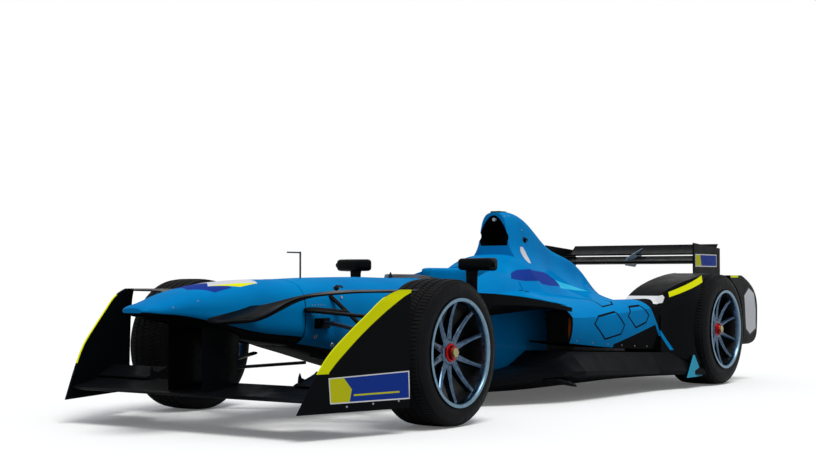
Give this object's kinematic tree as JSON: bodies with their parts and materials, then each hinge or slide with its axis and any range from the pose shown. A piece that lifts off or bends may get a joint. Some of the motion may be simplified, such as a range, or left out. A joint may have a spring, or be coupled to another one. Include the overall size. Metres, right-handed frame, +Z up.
{
  "type": "open wheel racing car",
  "caption": "Single-seat open wheel racing car with flared front wing endplates, open cockpit, tall air intake, sidepods, rear wheel fairings and rear wing.",
  "frame": {"origin": "on the floor, at the middle of the car's length and width", "axes": "+Z up, the car faces -Y, its left side is +X"},
  "size_m": [1.758, 5, 1.0548],
  "materials": {
    "blue_paint": "gloss",
    "black_carbon": "satin",
    "cast_alloy": "cast",
    "steel": "satin",
    "machined_alloy": "satin",
    "caliper_finish": "satin",
    "grey_paint": "satin",
    "red_lens": "gloss",
    "clear_screen": "gloss",
    "seat_fabric": "woven",
    "grip_rubber": "matt",
    "tyre": "matt",
    "rim_paint": "gloss",
    "hub_steel": "machined"
  },
  "bodies": {
    "root": {"survival_cell": "blue_paint", "nose_cone": "blue_paint", "nose_pylons": "black_carbon", "front_wing_main_plane": "black_carbon", "front_wing_flaps": "black_carbon", "front_wing_endplates": "black_carbon", "front_wing_bridges": "black_carbon", "front_suspension": "black_carbon", "floor": "black_carbon", "floor_fins": "black_carbon", "floor_vanes": "black_carbon", "sidepods": "blue_paint", "sidepod_shelves": "black_carbon", "coolers": "cast_alloy", "battery": "cast_alloy", "motor_and_gearbox": "cast_alloy", "roll_hoop_cowl": "blue_paint", "engine_cover": "blue_paint", "rear_pods": "black_carbon", "rear_fairings": "black_carbon", "rear_wing_endplates": "black_carbon", "rear_wing_planes": "black_carbon", "rear_wing_rib": "grey_paint", "rear_crash_structure": "black_carbon", "rain_light": "red_lens", "driveshafts": "steel", "rear_suspension": "black_carbon", "rear_uprights": "machined_alloy", "rear_calipers": "caliper_finish", "mirrors": "black_carbon", "air_speed_probe": "steel", "seat": "seat_fabric", "headrest": "blue_paint", "windscreen": "clear_screen"},
    "knuckle_left": {"knuckle_left": "machined_alloy", "front_caliper_left": "caliper_finish"},
    "knuckle_right": {"knuckle_right": "machined_alloy", "front_caliper_right": "caliper_finish"},
    "steering_rack": {"steering_rack": "steel"},
    "steering_wheel": {"steering_wheel": "grip_rubber"},
    "wheel_front_left": {"tyre_front_left": "tyre", "rim_front_left": "rim_paint", "hub_front_left": "hub_steel"},
    "wheel_front_right": {"tyre_front_right": "tyre", "rim_front_right": "rim_paint", "hub_front_right": "hub_steel"},
    "wheel_rear_left": {"tyre_rear_left": "tyre", "rim_rear_left": "rim_paint", "hub_rear_left": "hub_steel"},
    "wheel_rear_right": {"tyre_rear_right": "tyre", "rim_rear_right": "rim_paint", "hub_rear_right": "hub_steel"}
  },
  "joints": [
    {"name": "front_left_steer", "type": "hinge", "parent": "root", "child": "knuckle_left", "pos_m": [0.686, -1.35, 0.33], "axis": [0, 0, 1], "range_deg": [-18, 18]},
    {"name": "front_right_steer", "type": "hinge", "parent": "root", "child": "knuckle_right", "pos_m": [-0.686, -1.35, 0.33], "axis": [0, 0, 1], "range_deg": [-18.1, 18.1]},
    {"name": "rack_slide", "type": "slide", "parent": "root", "child": "steering_rack", "axis": [1, 0, 0], "range_m": [-0.0515, 0.0515]},
    {"name": "steering_wheel_turn", "type": "hinge", "parent": "root", "child": "steering_wheel", "pos_m": [0, -0.42, 0.55776], "axis": [0, 0.996, 0.0889], "range_deg": [-165, 165]},
    {"name": "front_left_roll", "type": "hinge", "parent": "knuckle_left", "child": "wheel_front_left", "pos_m": [0.748, -1.35, 0.33], "axis": [1, 0, 0], "continuous": true},
    {"name": "front_right_roll", "type": "hinge", "parent": "knuckle_right", "child": "wheel_front_right", "pos_m": [-0.748, -1.35, 0.33], "axis": [1, 0, 0], "continuous": true},
    {"name": "rear_left_roll", "type": "hinge", "parent": "root", "child": "wheel_rear_left", "pos_m": [0.728, 1.75, 0.346], "axis": [1, 0, 0], "continuous": true},
    {"name": "rear_right_roll", "type": "hinge", "parent": "root", "child": "wheel_rear_right", "pos_m": [-0.728, 1.75, 0.346], "axis": [1, 0, 0], "continuous": true}
  ],
  "couplings": [
    {"joint": "front_right_steer", "follows": "front_left_steer", "ratio": 1},
    {"joint": "rack_slide", "follows": "front_left_steer", "m_per_rad": 0.162},
    {"joint": "steering_wheel_turn", "follows": "front_left_steer", "ratio": 9}
  ]
}
